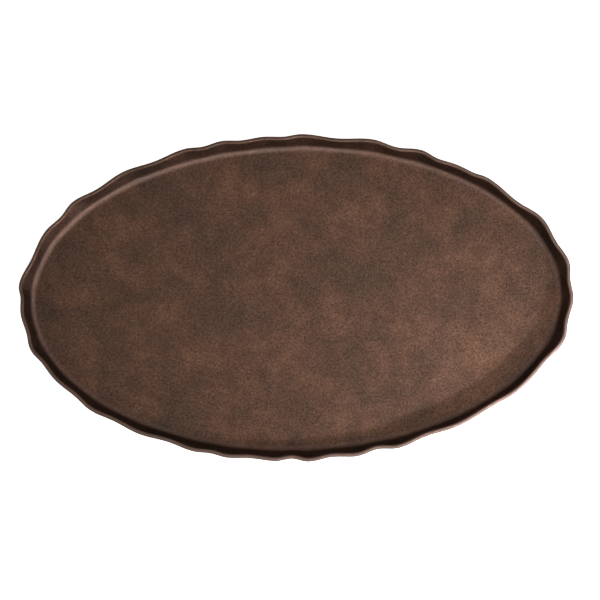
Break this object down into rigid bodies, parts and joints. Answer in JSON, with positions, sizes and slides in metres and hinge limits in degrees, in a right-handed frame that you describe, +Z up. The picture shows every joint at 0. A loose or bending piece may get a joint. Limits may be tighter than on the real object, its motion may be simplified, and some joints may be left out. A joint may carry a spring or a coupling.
{
  "type": "serving tray",
  "caption": "Oval copper serving tray with a hammered floor, a low flared wall and a fluted rolled edge, on felt pads.",
  "frame": {"origin": "under the middle of the tray's overall box, at the undersides of the felt pads", "axes": "+Z up out of the well, +X along the tray's length, +Y across it"},
  "size_m": [0.6094, 0.3614, 0.02],
  "materials": {
    "copper": "hammered copper sheet, darkened with an antique patina and rubbed back on the edge",
    "wire": "drawn galvanised steel wire",
    "felt": "pressed felt, self-adhesive"
  },
  "bodies": {
    "root": {"tray_pan": "copper", "rim_wire": "wire", "felt_pad_1": "felt", "felt_pad_2": "felt", "felt_pad_3": "felt", "felt_pad_4": "felt", "felt_pad_5": "felt", "felt_pad_6": "felt"}
  },
  "joints": []
}
